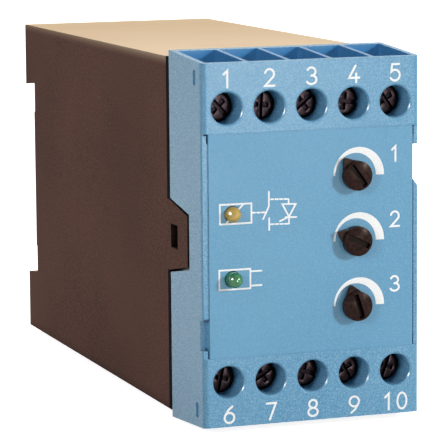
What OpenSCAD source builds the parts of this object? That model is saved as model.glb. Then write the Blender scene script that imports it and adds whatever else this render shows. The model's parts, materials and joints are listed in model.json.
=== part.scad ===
// Motor soft starter for a mounting rail.
// Millimetres. The front looks along -Y, +X is to the viewer's right and +Z is up.
// The origin is the middle of the rail seat at the back.
// Modules draw from the front face backwards, with y = 0 on the face, and from_front() places them.

/* [Housing] */
// Width of the front part
body_w = 45; // [44:0.5:50]
// Height of the front part at its rear edge
body_h = 73; // [71:0.5:80]
// Depth from the front face to the rear lips
body_d = 122; // [114:1:135]
// Depth of the front part
front_d = 19; // [18.5:0.5:22]
// Wall thickness of the rear case
case_wall = 2; // [1.7:0.1:2.4]

/* [Terminals] */
// Diameter of the screwdriver holes
hole_d = 6.2; // [5.8:0.1:6.6]
// Depth of the screw heads behind the front face
head_depth = 5; // [4.4:0.2:5.4]

/* [Controls] */
// Diameter of a knob cap
knob_d = 5.8; // [5.2:0.1:6.6]
// Height of a knob cap over the front plate
knob_out = 2.3; // [1.8:0.1:3]
// Diameter of an indicator lamp
led_d = 3; // [2.6:0.1:3.4]

/* [Rail latch] */
// Width of the latch
latch_w = 14; // [12:0.5:18]
// Travel of the latch from locked to free
latch_travel = 4; // [3:0.25:4.5]

/* [Hidden] */
$fn = 48;
// Overlap of joined solids, and how far a cut runs past a face
eps = 0.1;
over = 1;
half_w = body_w / 2;
half_h = body_h / 2;

// Front shell
front_taper = 1.25;
face_half = half_h - front_taper;
edge_r = 1.1;
plate_t = 1;
web_t = 1.2;
row_h = 14.75;
plate_half = half_h - row_h;
rebate_w = 1.35;
plate_x = half_w - rebate_w;
plate_gap = 0.02;
plate_inset = 0.15;
strip_depth = 0.45;
row_wall = 0.85;
hollow_z = plate_half - row_wall;

// Joint between the front shell and the case
seam_gap = 0.5;
case_y = front_d + seam_gap;
case_draft = 0.4;
case_straight = 1.5;
case_step = 1.3;
case_taper = 0.3;
case_front_half = half_h - case_step;
case_rear_half = case_front_half - case_taper;
cavity_x = half_w - case_draft - case_wall;
cavity_z = case_rear_half - case_wall;
spigot_step = 0.6;
spigot_gap = 0.05;
spigot_wall = 1.3;
spigot_d = 3.5;
spigot_end = front_d + spigot_d;
spigot_x = cavity_x + spigot_step - spigot_gap;
spigot_z = cavity_z + spigot_step - spigot_gap;
hollow_x = spigot_x - spigot_wall;

// Snap tongues on the sides of the case
tongue_t = 1.3;
tongue_len = 10.1;
tongue_tip_y = front_d - tongue_len;
tongue_tip_half = 5;
tongue_root_half = 7;
tongue_gap_y = 1.1;
tongue_gap_z = 0.4;
tongue_gap_x = 0.2;
tongue_slot_len = 4.1;
tongue_slot_inset = 0.2;
tongue_slot_y = [front_d - tongue_slot_inset - tongue_slot_len, front_d - tongue_slot_inset];
tongue_slot_half = 2.35;
nub_out = 0.9;
nub_len = 0.8;
nub_gap = 0.2;

// Marks cut into the front shell, measured from the edges that they follow
side_mark_y = [3.4, 4.8];
side_mark_down = [5.7, 2.8];
side_mark_z = [half_h - side_mark_down[0], half_h - side_mark_down[1]];
side_mark_depth = 0.6;
notch_right_depth = 6;
notch_left_depth = 1.9;
notch_left_up = [1.55, 7.45];
notch_left_z = [notch_left_up[0] - plate_half, notch_left_up[1] - plate_half];
notch_right_down = [10.45, 3.75];
notch_right_z = [plate_half - notch_right_down[0], plate_half - notch_right_down[1]];
notch_slant = 1.7;
corner_slot_w = 0.35;
corner_slot_len = 1.8;
corner_slot_depth = 5;
corner_slot_reach = [0.95, 0.5];

// Terminals, five in each row
row_count = 5;
terminal_count = 2 * row_count;
row_margin = 1.5;
pitch = (body_w - row_margin) / row_count;
partition = 0.9;
pocket_w = pitch - partition;
pocket_front = 1.2;
pocket_wall = 1.8;
pocket_rear = front_d - pocket_wall;
terminal_inset = 10;
terminal_z = half_h - terminal_inset;
rim_r = 0.45;
rim_steps = 3;
funnel_wall = 1;
funnel_z = terminal_z + hole_d / 2 + funnel_wall;
chamber_drop = 3.9;
chamber_z = terminal_z - chamber_drop;

// Terminal screw
head_gap = 0.15;
head_d = hole_d - 2 * head_gap;
head_t = 2;
head_back_gap = 0.2;
head_slot_w = 0.9;
head_slot_depth = 0.9;
head_cross_len = 3.4;
shank_d = 3.4;
shank_gap = 0.25;
thread_gap = 0.1;
screw_turn = 47;
chamber_front = head_depth + head_t + head_back_gap;

// Clamp cage, with the travel that its chamber leaves it, and contact bar
cage_side_gap = 0.6;
cage_w = pocket_w - 2 * cage_side_gap;
cage_half_h = 3.4;
cage_front_t = 1.2;
cage_rear_t = 0.8;
cage_side_t = 0.7;
cage_front_gap = 0.2;
cage_rear_gap = 0.7;
bar_t = 0.8;
bar_gap = 0.15;
bar_side_gap = 0.4;
bar_w = cage_w - 2 * cage_side_t - 2 * bar_side_gap;
bar_up = 2.6;
cage_walls = cage_front_t + cage_rear_t + bar_t + 2 * bar_gap;
clamp_travel = (pocket_rear - chamber_front - cage_front_gap - cage_rear_gap - cage_walls) / 2;
cage_open_y = chamber_front + cage_front_gap + clamp_travel;
cage_inner_y = cage_open_y + cage_front_t;
cage_inner_len = bar_t + clamp_travel + 2 * bar_gap;
bar_y = cage_inner_y + bar_gap;
shank_end = bar_y - shank_gap;
tail_share = 0.22;
tail_w = pitch * tail_share;
tail_drop = 2.7;
tail_z = hollow_z - tail_drop;
tail_slot_gap = 0.3;

// Control board
board_t = 1.6;
board_inset = 4.5;
board_y = front_d - board_inset;
board_gap = 0.45;
board_x = hollow_x - board_gap;
board_z = hollow_z - board_gap;
post_w = 2.2;
post_down = [8.9, 6.4];
post_z = [hollow_z - post_down[0], hollow_z - post_down[1]];
solder_len = 0.9;
tail_end = board_y + board_t + solder_len;

// Knobs and trimmers
knob_inset = 13.5;
knob_x = half_w - knob_inset;
knob_mid_z = -0.3;
knob_margin = 5.1;
knob_count = 3;
knob_pitch = (2 * plate_half - knob_margin) / knob_count;
knob_angles = [126, 154, 107];
knob_gap = 0.3;
knob_dome_r = 7.5;
knob_slot_w = 1.1;
knob_slot_depth = 1.3;
knob_slot_share = 0.86;
pointer_reach = 4.3;
pointer_t = 0.8;
pointer_tip_w = 0.3;
pointer_spread = 34;
stem_d = 4;
stem_gap = 0.3;
stem_web_gap = 0.5;
stem_square = 2.4;
trimmer_gap = 3.8;
trimmer_w = knob_pitch - trimmer_gap;
trimmer_d = 5;
trimmer_rim = 1;
rotor_d = trimmer_w - 2 * trimmer_rim;
rotor_gap = 0.08;
rotor_t = 1.7;
rotor_in = 0.3;
rotor_end_gap = 0.2;
rotor_y = [board_y - trimmer_d + rotor_in, board_y - trimmer_d + rotor_in + rotor_t];

// Indicator lamps
led_inset = 6.1;
led_x = led_inset - half_w;
led_mid_z = -0.15;
led_gap_less = 0.2;
led_pitch = knob_pitch - led_gap_less;
led_z = [led_mid_z + led_pitch / 2, led_mid_z - led_pitch / 2];
led_out = [1.9, 2.6];
led_gap = 0.15;
led_web_gap = 0.6;
led_body = 6;
led_flange = 0.35;
led_flange_t = 1;
led_leg = 0.5;
led_leg_half = 1.27;

// Rail recess, for a rail 35 wide with flanges 1 thick
rail_w = 35;
rail_half = rail_w / 2;
rail_gap = 0.2;
lip_d = 6.5;
seat_y = body_d - lip_d;
seat_half = 15.4;
groove = 0.5;
recess_room = [4.5, 4.1];
recess_top = rail_half + recess_room[0];
recess_bottom = -rail_half - recess_room[1];
lip_slope = 0.7;
cavity_end = seat_y - groove - case_wall;
flange_slot = 1.3;
catch_depth = 4.2;
catch_overlap = 1.9;
catch_lead = 0.9;
hook_half_w = 14;

// Latch in the lower lip
latch_gap = 0.3;
latch_front_gap = 0.2;
latch_front = seat_y - groove + latch_front_gap;
latch_depth = 3.7;
latch_back = seat_y + latch_depth;
latch_rise = 0.4;
latch_bottom = latch_rise - case_rear_half;
latch_foot = 1.5;
channel_back = latch_back + latch_gap;
window_half_w = 2.2;
peg_half_w = 1.8;
peg_h = 1.5;
peg_gap = 0.2;
peg_short = 0.5;
peg_z = latch_bottom + latch_foot + peg_gap;
tab_half_w = 3.6;
tab_reach = 6;
tab_back = seat_y + tab_reach;
tab_h = 1.3;
tab_top = latch_bottom + tab_h;

// Latch spring
spring_wire = 0.4;
spring_r = 1.3;
spring_turns = 6;
spring_steps = 14;
spring_sides = 6;
spring_back = 1.7;
spring_y = seat_y + spring_back;
spring_spare = 1.8;
spring_len = latch_travel + spring_turns * spring_wire + spring_spare;
spring_z = [peg_z + peg_h, peg_z + peg_h + spring_len];
window_z = [peg_z - peg_gap, spring_z[1]];

// Power stage, with insets from the front part and from the end of the cavity
power_x = -1;
power_inset = [5, 3];
power_y = [front_d + power_inset[0], cavity_end - power_inset[1]];
rib_w = 1.4;
rib_h = 2;
rib_gap = 0.05;
sink_x = [-12.5, -9];
sink_inset = [11, 6];
sink_y = [front_d + sink_inset[0], cavity_end - sink_inset[1]];
fin_t = 1.8;
fin_steps = 3;
fin_pitch = cavity_z / (fin_steps + 1);
fin_gap = 0.5;
package_t = 5;
package_inset = [21, 51];
package_len = 20.8;
package_w = 15.9;
package_hole_y = 14.6;
package_hole_d = 3.6;
package_screw_d = 3;
package_screw_gap = 0.05;
package_head_d = 5.5;
package_head_t = 1.8;
package_screw_short = 0.5;
lead_half = 5.45;
lead_len = 4;
lead_w = 1.2;
lead_t = 0.6;
relay_inset = 15;
relay_size = [15.7, 28.6, 12.4];
relay_share = 0.3;
relay_z = cavity_z * relay_share;
transformer_inset = 50;
transformer_size = [18, 32, 27];
core_t = 9;
coil_end = 5;
coil_drop = 3;
capacitor_d = 10;
capacitor_len = 16;
capacitor_share = 0.7;
capacitor_z = cavity_z * capacitor_share;
capacitor_inset = [56, 70];
chip_w = 7;
chip_t = 1.2;
chip_x = -8;
header_size = [2.5, 2.5, 18];
pin_w = 0.64;
pin_pitch = 2.54;
pin_steps = 3;
pin_root = 1;
pin_on_board = 3;
pin_end = power_y[0] + pin_on_board;

// Shape helpers

// Moves what is drawn from the front face to the rail seat's origin
module from_front() {
    translate([0, -seat_y, 0]) children();
}

// A side profile (y, z) drawn out along X, centred
module across(width) {
    translate([-width / 2, 0, 0]) rotate([90, 0, 90]) linear_extrude(width) children();
}

// A front profile (x, z) drawn out along Y
module along_y(y) {
    translate([0, y[1], 0]) rotate([90, 0, 0]) linear_extrude(y[1] - y[0]) children();
}

// A box between limits on each axis
module box(x, y, z) {
    translate([x[0], y[0], z[0]]) cube([x[1] - x[0], y[1] - y[0], z[1] - z[0]]);
}

// A box centred on x = 0 and z = 0
module mid_box(x, y, z) {
    box([-x, x], y, [-z, z]);
}

// A round bar along Y
module rod(d, y) {
    translate([0, y[0], 0]) rotate([-90, 0, 0]) cylinder(d = d, h = y[1] - y[0]);
}

// The children on the right side and mirrored on the left
module both_sides() {
    children();
    mirror([1, 0, 0]) children();
}

// Terminal n, where 1 to 5 are the upper row and 6 to 10 the lower row
function terminal_x(n) = ((n - 1) % row_count - (row_count - 1) / 2) * pitch;

module at_terminal(n) {
    translate([terminal_x(n), 0, 0])
        if (n <= row_count) children();
        else mirror([0, 0, 1]) children();
}

function knob_z(n) = knob_mid_z + (2 - n) * knob_pitch;

module at_knob(n) {
    translate([knob_x, 0, knob_z(n)]) children();
}

module at_led(n) {
    translate([led_x, 0, led_z[n - 1]]) children();
}

// Front shell

module front_plan() {
    translate([-half_w + edge_r, 0]) square([body_w - 2 * edge_r, front_d]);
    translate([-half_w, edge_r]) square([body_w, front_d - edge_r]);
    for (side = [-1, 1])
        translate([side * (half_w - edge_r), edge_r]) circle(r = edge_r);
}

module front_block() {
    intersection() {
        across(body_w + 2 * over)
            polygon([[0, -face_half], [front_d, -half_h], [front_d, half_h], [0, face_half]]);
        translate([0, 0, -half_h]) linear_extrude(body_h) front_plan();
    }
}

module spigot() {
    difference() {
        mid_box(spigot_x, [front_d - eps, spigot_end], spigot_z);
        mid_box(hollow_x, [front_d, spigot_end + eps], spigot_z - spigot_wall);
    }
}

module board_posts() {
    for (up = [-1, 1])
        both_sides()
            box([hollow_x - post_w, hollow_x + eps], [plate_t, board_y],
                up > 0 ? post_z : [-post_z[1], -post_z[0]]);
}

// The rounded mouth of a screwdriver hole
module hole_rim() {
    hole_r = hole_d / 2;
    curve = [for (k = [0 : rim_steps]) let (a = 90 - 90 * k / rim_steps)
        [hole_r + rim_r * (1 - cos(a)), rim_r * (1 - sin(a))]];
    rotate([-90, 0, 0]) rotate_extrude()
        polygon(concat([[0, -over], [hole_r + rim_r, -over]], curve, [[0, rim_r]]));
}

// Everything that one upper terminal takes out of the shell
module terminal_space() {
    half = pocket_w / 2;
    box([-half, half], [pocket_front, pocket_rear], [funnel_z, half_h + over]);
    box([-half, half], [chamber_front, pocket_rear], [chamber_z, funnel_z + eps]);
    box([-tail_w / 2 - tail_slot_gap, tail_w / 2 + tail_slot_gap],
        [bar_y - tail_slot_gap, bar_y + bar_t + tail_slot_gap], [hollow_z - eps, chamber_z + eps]);
    translate([0, 0, terminal_z]) {
        rod(hole_d, [-over, chamber_front + eps]);
        hole_rim();
    }
}

module tongue_outline(tip_y, root_y, grow) {
    polygon([[tip_y, -tongue_tip_half - grow], [root_y, -tongue_root_half - grow],
             [root_y, tongue_root_half + grow], [tip_y, tongue_tip_half + grow]]);
}

// The recess for one tongue, with the hole behind its slot
module tongue_space() {
    inner = half_w - tongue_t - tongue_gap_x;
    translate([inner, 0, 0]) rotate([90, 0, 90]) linear_extrude(tongue_t + over)
        tongue_outline(tongue_tip_y - tongue_gap_y, front_d + eps, tongue_gap_z);
    box([hollow_x - eps, half_w], [tongue_slot_y[0] + nub_len + 2 * nub_gap, tongue_slot_y[1] - nub_gap],
        [-tongue_slot_half, tongue_slot_half]);
}

// The nubs that catch in the slots of the tongues
module hook_nubs() {
    root = half_w - tongue_t - tongue_gap_x;
    half = tongue_slot_half - nub_gap;
    both_sides()
        box([root - eps, root + nub_out],
            [tongue_slot_y[0] + nub_gap, tongue_slot_y[0] + nub_gap + nub_len], [-half, half]);
}

module side_marks() {
    both_sides() {
        box([half_w - side_mark_depth, half_w + over], side_mark_y, side_mark_z);
        box([half_w - side_mark_depth, half_w + over], side_mark_y, [-side_mark_z[1], -side_mark_z[0]]);
    }
}

// The lever notch on each side and the thin slots at the plate's corners
module plate_notches() {
    outer = half_w + over;
    slant = notch_slant * (outer - plate_x) / (half_w - plate_x);
    along_y([-over, notch_right_depth])
        polygon([[plate_x, notch_right_z[0]], [outer, notch_right_z[0] - slant],
                 [outer, notch_right_z[1]], [plate_x, notch_right_z[1]]]);
    box([-outer, -plate_x], [-over, notch_left_depth], notch_left_z);
    box([-plate_x - corner_slot_reach[0], -plate_x], [0, corner_slot_depth],
        [plate_half - corner_slot_w, plate_half]);
    box([plate_x, plate_x + corner_slot_reach[1]], [0, corner_slot_depth],
        [plate_half - corner_slot_w, plate_half]);
    for (up = [-1, 1])
        both_sides()
            translate([plate_x, 0, up * (plate_half - eps) - (up > 0 ? corner_slot_len : 0)])
                cube([corner_slot_w, corner_slot_depth, corner_slot_len]);
}

// The eased edge of the lower row, down to the plate's face
module seam_edge() {
    across(body_w + 2 * over)
        polygon([[-plate_inset, -plate_half - 2 * plate_inset], [plate_inset, -plate_half],
                 [-plate_inset, -plate_half]]);
}

module front_shell() {
    color("steelblue") {
        difference() {
            union() {
                difference() {
                    union() {
                        front_block();
                        spigot();
                    }
                    mid_box(hollow_x, [plate_t + web_t, front_d + eps], hollow_z);
                }
                board_posts();
            }
            mid_box(plate_x + plate_gap, [-over, plate_t], plate_half);
            mid_box(half_w + over, [-over, strip_depth], plate_half);
            seam_edge();
            plate_notches();
            side_marks();
            both_sides() tongue_space();
            for (n = [1 : terminal_count]) at_terminal(n) terminal_space();
            for (n = [1 : knob_count]) at_knob(n) rod(stem_d + 2 * stem_web_gap, [0, plate_t + web_t + eps]);
            for (n = [1, 2]) at_led(n) rod(led_d + 2 * led_web_gap, [0, plate_t + web_t + eps]);
        }
        hook_nubs();
    }
}

module front_plate() {
    color("lightsteelblue") difference() {
        mid_box(plate_x, [plate_inset, plate_t], plate_half - plate_gap);
        for (n = [1 : knob_count]) at_knob(n) rod(stem_d + 2 * stem_gap, [-over, plate_t + over]);
        for (n = [1, 2]) at_led(n) rod(led_d + 2 * led_gap, [-over, plate_t + over]);
    }
}

// Rear case

module case_side() {
    floor_y = seat_y - groove;
    polygon([[case_y, -case_front_half], [case_y, case_front_half],
             [body_d, case_rear_half], [body_d, recess_top - lip_slope],
             [floor_y, recess_top], [floor_y, seat_half], [seat_y, seat_half],
             [seat_y, -seat_half], [floor_y, -seat_half], [floor_y, recess_bottom],
             [body_d, recess_bottom - lip_slope], [body_d, -case_rear_half]]);
}

module case_plan() {
    rear = half_w - case_draft;
    taper_y = case_y + case_straight;
    polygon([[-half_w, case_y], [half_w, case_y], [half_w, taper_y], [rear, body_d],
             [-rear, body_d], [-half_w, taper_y]]);
}

module tongue() {
    translate([half_w - tongue_t, 0, 0]) rotate([90, 0, 90]) linear_extrude(tongue_t)
        tongue_outline(tongue_tip_y, case_y, 0);
    box([half_w - tongue_t, half_w], [case_y - eps, case_y + case_straight], [-tongue_root_half, tongue_root_half]);
}

// The catch that grips one rail flange, drawn for the upper edge
module catch_side(top, front, back) {
    edge = rail_half + rail_gap;
    polygon([[front, top], [back, top], [back, rail_half - catch_overlap + catch_lead],
             [back - catch_lead, rail_half - catch_overlap], [seat_y + flange_slot, rail_half - catch_overlap],
             [seat_y + flange_slot, edge], [front, edge]]);
}

module rail_hook() {
    across(2 * hook_half_w) catch_side(recess_top + eps, seat_y - groove - eps, seat_y + catch_depth);
}

// Pairs of ribs that hold the edges of an upright plate between x[0] and x[1]
module edge_ribs(x, y) {
    for (up = [-1, 1])
        for (at = [x[0] - rib_gap - rib_w, x[1] + rib_gap])
            translate([at, y[0], up > 0 ? cavity_z - rib_h : -cavity_z - eps])
                cube([rib_w, y[1] - y[0], rib_h + eps]);
}

module rear_case() {
    channel_w = latch_w / 2 + latch_gap;
    color([0.26, 0.2, 0.18]) {
        difference() {
            union() {
                intersection() {
                    across(body_w + 2 * over) case_side();
                    translate([0, 0, -half_h]) linear_extrude(body_h) case_plan();
                }
                both_sides() tongue();
                rail_hook();
            }
            mid_box(cavity_x, [case_y - eps, cavity_end], cavity_z);
            mid_box(cavity_x + spigot_step, [case_y - eps, spigot_end], cavity_z + spigot_step);
            both_sides()
                box([half_w - tongue_t - over, half_w + over], tongue_slot_y, [-tongue_slot_half, tongue_slot_half]);
            box([-channel_w, channel_w], [seat_y - groove, channel_back], [-half_h, recess_bottom + eps]);
            box([-tab_half_w - latch_gap, tab_half_w + latch_gap], [latch_back, body_d + over],
                [-half_h, tab_top + peg_gap]);
        }
        box([-peg_half_w, peg_half_w], [seat_y - groove - eps, latch_back - peg_short], [peg_z, peg_z + peg_h]);
        edge_ribs([power_x, power_x + board_t], power_y);
        edge_ribs(sink_x, sink_y);
    }
}

module din_latch() {
    color("dimgray") difference() {
        union() {
            mirror([0, 0, 1]) across(latch_w) catch_side(-latch_bottom, latch_front, latch_back);
            box([-tab_half_w, tab_half_w], [latch_back - eps, tab_back], [latch_bottom, tab_top]);
        }
        box([-window_half_w, window_half_w], [latch_front - over, latch_back + over], window_z);
    }
}

// Points of one ring of the spring wire, at step k
function spring_turn(k) = 360 * k / spring_steps;

function spring_rise(k) =
    spring_z[0] + spring_wire / 2
    + (spring_z[1] - spring_z[0] - spring_wire) * k / (spring_turns * spring_steps);

function spring_ring(k) = [
    for (s = [0 : spring_sides - 1])
        let (a = 360 * s / spring_sides, r = spring_r + spring_wire / 2 * cos(a))
            [r * cos(spring_turn(k)), r * sin(spring_turn(k)), spring_rise(k) + spring_wire / 2 * sin(a)]
];

module latch_spring() {
    last = spring_turns * spring_steps;
    points = [for (k = [0 : last]) each spring_ring(k)];
    sides = [
        for (k = [0 : last - 1], s = [0 : spring_sides - 1])
            let (t = (s + 1) % spring_sides, a = k * spring_sides, b = a + spring_sides)
                each [[a + s, b + s, b + t], [a + s, b + t, a + t]]
    ];
    first_cap = [for (s = [0 : spring_sides - 1]) s];
    last_cap = [for (s = [spring_sides - 1 : -1 : 0]) last * spring_sides + s];
    color("silver") translate([0, spring_y, 0])
        polyhedron(points, concat(sides, [first_cap, last_cap]));
}

// Terminals

module terminal_screw(n) {
    color("gray") at_terminal(n) translate([0, 0, terminal_z]) {
        difference() {
            rod(head_d, [head_depth, head_depth + head_t]);
            rotate([0, screw_turn * n, 0]) {
                mid_box(head_d, [head_depth - over, head_depth + head_slot_depth], head_slot_w / 2);
                mid_box(head_slot_w / 2, [head_depth - over, head_depth + head_slot_depth], head_cross_len / 2);
            }
        }
        rod(shank_d, [head_depth + head_t - eps, shank_end]);
    }
}

module clamp_cage(n) {
    half = cage_w / 2;
    rear = cage_inner_y + cage_inner_len;
    color("goldenrod") at_terminal(n) translate([0, 0, terminal_z]) difference() {
        mid_box(half, [cage_open_y, rear + cage_rear_t], cage_half_h);
        mid_box(half - cage_side_t, [cage_inner_y, rear], cage_half_h + over);
        rod(shank_d + 2 * thread_gap, [cage_open_y - over, cage_inner_y + eps]);
    }
}

module contact_bar(n) {
    color("peru") at_terminal(n) {
        box([-bar_w / 2, bar_w / 2], [bar_y, bar_y + bar_t],
            [chamber_z + tail_slot_gap, terminal_z + bar_up]);
        box([-tail_w / 2, tail_w / 2], [bar_y, bar_y + bar_t], [tail_z, chamber_z + over]);
        box([-tail_w / 2, tail_w / 2], [bar_y, tail_end], [tail_z, tail_z + bar_t]);
    }
}

// Controls

// The beak of a knob, with sides that end on the round of the cap
module pointer_outline() {
    side = knob_d / 2 * [cos(pointer_spread), sin(pointer_spread)];
    polygon([[0, 0], [side[0], -side[1]], [pointer_reach, -pointer_tip_w / 2],
             [pointer_reach, pointer_tip_w / 2], side]);
}

module knob(n) {
    color([0.12, 0.09, 0.09]) at_knob(n) rotate([0, -knob_angles[n - 1], 0]) {
        difference() {
            union() {
                intersection() {
                    rod(knob_d, [-knob_out, -knob_gap]);
                    translate([0, knob_dome_r - knob_out, 0]) sphere(r = knob_dome_r);
                }
                along_y([-knob_gap - pointer_t, -knob_gap])
                    pointer_outline();
            }
            mid_box(knob_slot_share * knob_d / 2, [-knob_out - over, -knob_out + knob_slot_depth],
                    knob_slot_w / 2);
        }
        rod(stem_d, [-knob_gap - eps, rotor_y[0]]);
        mid_box(stem_square / 2, [rotor_y[0] - eps, rotor_y[1]], stem_square / 2);
    }
}

module trimmer_body(n) {
    color("royalblue") at_knob(n) difference() {
        mid_box(trimmer_w / 2, [board_y - trimmer_d, board_y], trimmer_w / 2);
        rod(rotor_d + 2 * rotor_gap, [board_y - trimmer_d - over, rotor_y[1] + rotor_end_gap]);
    }
}

module trimmer_rotor(n) {
    color("white") at_knob(n) rotate([0, -knob_angles[n - 1], 0]) difference() {
        rod(rotor_d, rotor_y);
        mid_box(stem_square / 2, [rotor_y[0] - over, rotor_y[1] + over], stem_square / 2);
    }
}

module led_legs(from_y) {
    for (side = [-1, 1])
        translate([side * led_leg_half, 0, 0])
            mid_box(led_leg / 2, [from_y, tail_end], led_leg / 2);
}

module led(n) {
    dome_y = led_d / 2 - led_out[n - 1];
    base_y = led_body - led_out[n - 1];
    at_led(n) {
        translate([0, dome_y, 0]) sphere(d = led_d);
        rod(led_d, [dome_y, base_y]);
        rod(led_d + 2 * led_flange, [base_y - led_flange_t, base_y]);
        led_legs(base_y - eps);
    }
}

module led_yellow() {
    color("gold") led(1);
}

module led_green() {
    color("limegreen") led(2);
}

// Boards

module control_board() {
    color("darkgreen") difference() {
        mid_box(board_x, [board_y, board_y + board_t], board_z);
        for (n = [1 : terminal_count])
            at_terminal(n)
                box([-tail_w / 2, tail_w / 2], [board_y - over, board_y + board_t + over], [tail_z, tail_z + bar_t]);
        for (n = [1, 2]) at_led(n) led_legs(board_y - over);
    }
}

module microcontroller() {
    rear = board_y + board_t;
    color("black") box([chip_x - chip_w / 2, chip_x + chip_w / 2], [rear, rear + chip_t],
                       [-chip_w / 2, chip_w / 2]);
}

module board_header() {
    rear = board_y + board_t;
    color("gray") translate([power_x - header_size[0], 0, 0]) {
        box([0, header_size[0]], [rear, rear + header_size[1]], [-header_size[2] / 2, header_size[2] / 2]);
        for (k = [-pin_steps : pin_steps])
            translate([header_size[0] - pin_w, 0, k * pin_pitch])
                box([0, pin_w], [rear + pin_root, pin_end], [-pin_w / 2, pin_w / 2]);
    }
}

module power_board() {
    color("darkgreen") box([power_x, power_x + board_t], power_y, [-cavity_z, cavity_z]);
}

// Power stage

module heat_sink() {
    tip = -cavity_x + fin_gap;
    color("lightgray") {
        difference() {
            box(sink_x, sink_y, [-cavity_z, cavity_z]);
            for (n = [1, 2]) at_package(n)
                translate([sink_x[0] - over, 0, 0]) rotate([0, 90, 0])
                    cylinder(d = package_screw_d + 2 * package_screw_gap, h = sink_x[1] - sink_x[0] + 2 * over);
        }
        for (k = [-fin_steps : fin_steps])
            translate([0, 0, k * fin_pitch])
                box([tip, sink_x[0] + eps], sink_y, [-fin_t / 2, fin_t / 2]);
    }
}

// The fixing hole of thyristor n, with y along the package
module at_package(n) {
    translate([0, front_d + package_inset[n - 1] + package_hole_y, 0]) children();
}

module thyristor(n) {
    y = front_d + package_inset[n - 1];
    x = [sink_x[1], sink_x[1] + package_t];
    color([0.15, 0.15, 0.16]) {
        difference() {
            box(x, [y, y + package_len], [-package_w / 2, package_w / 2]);
            at_package(n) translate([x[0] - over, 0, 0]) rotate([0, 90, 0])
                cylinder(d = package_hole_d, h = package_t + 2 * over);
        }
        for (k = [-1 : 1])
            translate([x[0] + package_t / 2, y, k * lead_half - lead_w / 2]) {
                translate([0, -lead_len, 0]) cube([lead_t, lead_len + eps, lead_w]);
                translate([0, -lead_len, 0]) cube([power_x - x[0] - package_t / 2, lead_t, lead_w]);
            }
    }
}

module thyristor_screws() {
    head_x = sink_x[1] + package_t;
    tip_x = sink_x[0] + package_screw_short;
    color("silver") for (n = [1, 2]) at_package(n) rotate([0, 90, 0]) {
        translate([0, 0, head_x]) cylinder(d = package_head_d, h = package_head_t);
        translate([0, 0, tip_x]) cylinder(d = package_screw_d, h = head_x - tip_x + eps);
    }
}

module bypass_relay(n) {
    side = n == 1 ? 1 : -1;
    color("darkslateblue")
        translate([power_x + board_t, front_d + relay_inset, side * relay_z - relay_size[2] / 2]) cube(relay_size);
}

module transformer() {
    x = power_x + board_t;
    y = [front_d + transformer_inset, front_d + transformer_inset + transformer_size[1]];
    half = transformer_size[2] / 2;
    color("sienna") {
        box([x, x + transformer_size[0]], y, [-core_t / 2, core_t / 2]);
        box([x, x + transformer_size[0] - coil_drop], [y[0] + coil_end, y[1] - coil_end], [-half, half]);
    }
}

module capacitors() {
    color("midnightblue") for (inset = capacitor_inset)
        translate([power_x + board_t, front_d + inset, capacitor_z]) rotate([0, 90, 0])
            cylinder(d = capacitor_d, h = capacitor_len);
}

// Placing

from_front() rear_case();
from_front() front_shell();
from_front() front_plate();
from_front() din_latch();
from_front() latch_spring();
for (n = [1 : terminal_count]) {
    from_front() terminal_screw(n);
    from_front() clamp_cage(n);
    from_front() contact_bar(n);
}
for (n = [1 : knob_count]) {
    from_front() knob(n);
    from_front() trimmer_body(n);
    from_front() trimmer_rotor(n);
}
from_front() led_yellow();
from_front() led_green();
from_front() control_board();
from_front() microcontroller();
from_front() board_header();
from_front() power_board();
from_front() heat_sink();
for (n = [1, 2]) {
    from_front() thyristor(n);
    from_front() bypass_relay(n);
}
from_front() thyristor_screws();
from_front() transformer();
from_front() capacitors();
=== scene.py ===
"""Looks of the soft starter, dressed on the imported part."""

import json
import math

import bmesh
import bpy
from mathutils import Matrix, Vector


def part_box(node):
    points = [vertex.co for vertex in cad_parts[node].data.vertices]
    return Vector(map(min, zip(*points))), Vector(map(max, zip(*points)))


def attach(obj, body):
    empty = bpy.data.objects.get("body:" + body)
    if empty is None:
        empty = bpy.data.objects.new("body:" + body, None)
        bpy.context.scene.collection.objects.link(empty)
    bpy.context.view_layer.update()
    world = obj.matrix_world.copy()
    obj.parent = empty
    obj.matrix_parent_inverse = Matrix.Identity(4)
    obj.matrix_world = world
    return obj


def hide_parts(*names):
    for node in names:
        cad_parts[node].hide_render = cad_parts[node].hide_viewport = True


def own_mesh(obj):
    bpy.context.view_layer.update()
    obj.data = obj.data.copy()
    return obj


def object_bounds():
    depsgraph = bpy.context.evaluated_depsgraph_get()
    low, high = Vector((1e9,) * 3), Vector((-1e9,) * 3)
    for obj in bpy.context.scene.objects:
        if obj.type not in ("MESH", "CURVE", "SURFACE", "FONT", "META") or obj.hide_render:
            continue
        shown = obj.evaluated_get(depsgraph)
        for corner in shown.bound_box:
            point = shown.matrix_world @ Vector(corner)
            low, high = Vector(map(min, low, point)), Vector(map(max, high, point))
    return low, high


MM = 0.001
TERMINALS = range(1, 11)
TERMINALS_IN_ROW = 5
KNOBS = range(1, 4)
BLACK = (0, 0, 0, 1)
WHITE = (1, 1, 1, 1)

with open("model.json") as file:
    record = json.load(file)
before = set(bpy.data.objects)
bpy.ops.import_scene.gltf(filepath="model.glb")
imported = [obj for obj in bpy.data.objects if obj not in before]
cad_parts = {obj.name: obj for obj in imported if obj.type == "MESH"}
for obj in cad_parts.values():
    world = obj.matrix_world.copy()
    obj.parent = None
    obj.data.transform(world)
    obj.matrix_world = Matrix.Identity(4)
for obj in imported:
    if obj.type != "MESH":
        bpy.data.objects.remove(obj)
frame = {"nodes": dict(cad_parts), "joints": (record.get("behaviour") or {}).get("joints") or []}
nodes = frame["nodes"]
cad_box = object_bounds()
joints = {j["name"]: j for j in frame["joints"]}
shell_low, shell_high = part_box("front_shell")
plate_low, plate_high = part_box("front_plate")
row_face = shell_low.y
plate_face = plate_low.y
case_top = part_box("rear_case")[1].z


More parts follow.
